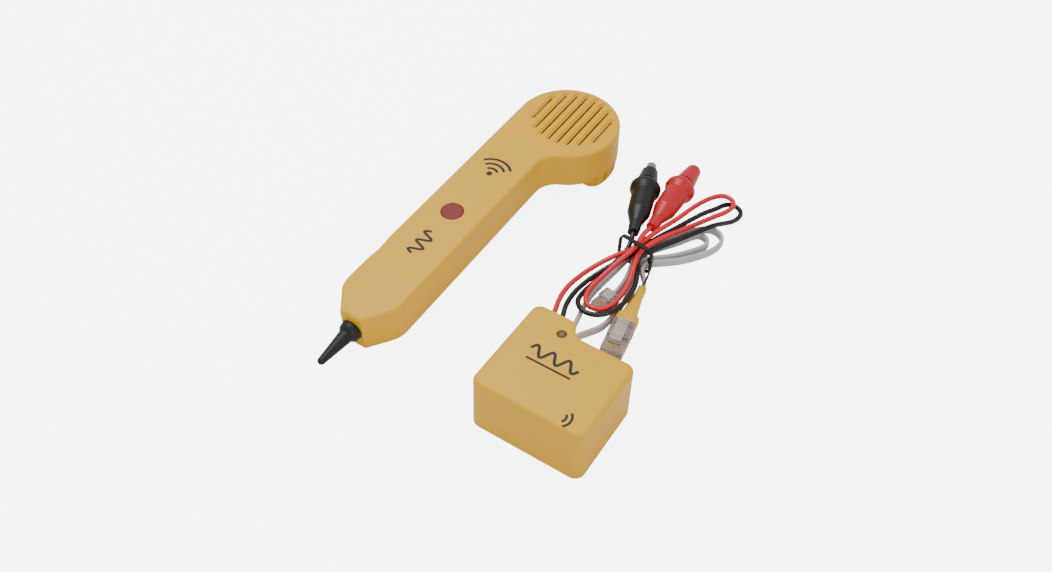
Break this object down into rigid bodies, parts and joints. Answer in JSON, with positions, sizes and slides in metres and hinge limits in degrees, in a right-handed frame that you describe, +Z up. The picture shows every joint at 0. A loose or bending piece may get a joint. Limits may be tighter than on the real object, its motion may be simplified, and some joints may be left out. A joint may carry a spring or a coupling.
{
  "type": "tone probe kit",
  "caption": "Cable tracing kit: hand-held tone probe with round speaker head, and a tone generator with clip leads and modular plugs tied in a bundle.",
  "frame": {"origin": "centre of the kit's footprint on the table", "axes": "+Z up; +Y along the probe, from its tip to its speaker head; +X from the probe to the generator"},
  "size_m": [0.1548, 0.2414, 0.0328],
  "materials": {
    "tool_yellow": "satin",
    "black_plastic": "matte",
    "antenna_steel": "satin",
    "button_red": "satin",
    "part_black": "matte",
    "plunger_grey": "matte",
    "board_green": "satin",
    "frame_steel": "satin",
    "thin_wire_insulation": "satin",
    "battery_jacket": "satin",
    "snap_black": "matte",
    "led_clear": "gloss",
    "grommet_rubber": "matte",
    "red_insulation": "satin",
    "black_insulation": "satin",
    "flat_cable_grey": "satin",
    "tie_black": "satin",
    "red_boot_pvc": "satin",
    "black_boot_pvc": "satin",
    "clip_steel": "satin",
    "boot_yellow": "satin",
    "plug_clear": "gloss",
    "contact_gold": "polished"
  },
  "bodies": {
    "generator": {"generator_case": "tool_yellow", "generator_base": "tool_yellow", "slide_switch_body": "part_black", "generator_components": "part_black", "generator_board": "board_green", "generator_case_screws": "frame_steel", "generator_snap_leads": "thin_wire_insulation", "generator_battery": "battery_jacket", "generator_battery_snap": "snap_black", "generator_led": "led_clear", "wire_grommets": "grommet_rubber", "flat_grommet": "grommet_rubber", "red_lead": "red_insulation", "black_lead": "black_insulation", "network_lead": "flat_cable_grey", "phone_lead": "flat_cable_grey", "twist_tie": "tie_black", "red_clip_boot": "red_boot_pvc", "red_clip_lower_nose": "red_boot_pvc", "black_clip_boot": "black_boot_pvc", "black_clip_lower_nose": "black_boot_pvc", "red_clip_lower_jaw": "clip_steel", "red_clip_pivot_pin": "clip_steel", "red_clip_spring": "clip_steel", "black_clip_lower_jaw": "clip_steel", "black_clip_pivot_pin": "clip_steel", "black_clip_spring": "clip_steel", "network_plug_boot": "boot_yellow", "network_plug_body": "plug_clear", "phone_plug_body": "plug_clear", "network_plug_contacts": "contact_gold", "phone_plug_contacts": "contact_gold"},
    "probe": {"probe_top_shell": "tool_yellow", "probe_bottom_shell": "tool_yellow", "probe_tip": "black_plastic", "antenna_rod": "antenna_steel", "switch_body": "part_black", "probe_board": "board_green", "probe_components": "part_black", "speaker_frame": "frame_steel", "speaker_cone": "part_black", "speaker_magnet": "frame_steel", "speaker_leads": "thin_wire_insulation", "volume_pot": "part_black", "probe_battery": "battery_jacket", "probe_battery_snap": "snap_black", "probe_snap_leads": "thin_wire_insulation", "probe_case_screws": "frame_steel"},
    "power_button": {"power_button": "button_red", "switch_plunger": "plunger_grey"},
    "volume_wheel": {"volume_wheel": "black_plastic"},
    "probe_battery_door": {"probe_battery_door": "tool_yellow"},
    "generator_battery_door": {"generator_battery_door": "tool_yellow"},
    "switch_slider": {"switch_slider": "black_plastic"},
    "red_clip_upper": {"red_clip_upper_jaw": "clip_steel", "red_clip_upper_nose": "red_boot_pvc"},
    "black_clip_upper": {"black_clip_upper_jaw": "clip_steel", "black_clip_upper_nose": "black_boot_pvc"},
    "network_plug_latch": {"network_plug_latch": "plug_clear"},
    "phone_plug_latch": {"phone_plug_latch": "plug_clear"}
  },
  "joints": [
    {"name": "probe_lift", "type": "slide", "parent": "generator", "child": "probe", "axis": [0, 0, 1], "range_m": [0, 0.1]},
    {"name": "power_button_press", "type": "slide", "parent": "probe", "child": "power_button", "axis": [0, 0.047, -0.9989], "range_m": [0, 0.001], "stiffness_N_per_m": 2000},
    {"name": "volume_turn", "type": "hinge", "parent": "probe", "child": "volume_wheel", "pos_m": [-0.06895, -0.05078, 0.01286], "axis": [0, -0.047, 0.9989], "range_deg": [-135, 135]},
    {"name": "probe_door_swing", "type": "hinge", "parent": "probe", "child": "probe_battery_door", "pos_m": [-0.05965, 0.04937, 0.00776], "axis": [1, 0, 0], "range_deg": [0, 85]},
    {"name": "generator_door_swing", "type": "hinge", "parent": "generator", "child": "generator_battery_door", "pos_m": [0.04685, -0.0662, 0.001], "axis": [1, 0, 0], "range_deg": [0, 85]},
    {"name": "mode_switch", "type": "slide", "parent": "generator", "child": "switch_slider", "axis": [0, 1, 0], "range_m": [-0.003, 0.003]},
    {"name": "red_clip_open", "type": "hinge", "parent": "generator", "child": "red_clip_upper", "pos_m": [0.02742, 0.09997, 0.00915], "axis": [0.9994, 0.0349, 0], "range_deg": [0, 12], "stiffness_Nm_per_rad": 0.3, "springref_deg": -5.73},
    {"name": "black_clip_open", "type": "hinge", "parent": "generator", "child": "black_clip_upper", "pos_m": [0.00937, 0.08842, 0.00915], "axis": [0.9511, 0.309, 0], "range_deg": [0, 12], "stiffness_Nm_per_rad": 0.3, "springref_deg": -5.73},
    {"name": "network_latch_press", "type": "hinge", "parent": "generator", "child": "network_plug_latch", "pos_m": [0.05223, -0.02527, 0.00875], "axis": [-0.9877, -0.1564, 0], "range_deg": [0, 5], "stiffness_Nm_per_rad": 0.02},
    {"name": "phone_latch_press", "type": "hinge", "parent": "generator", "child": "phone_plug_latch", "pos_m": [0.0332, -0.00166, 0.00735], "axis": [-0.9799, 0.1994, 0], "range_deg": [0, 5], "stiffness_Nm_per_rad": 0.02}
  ]
}
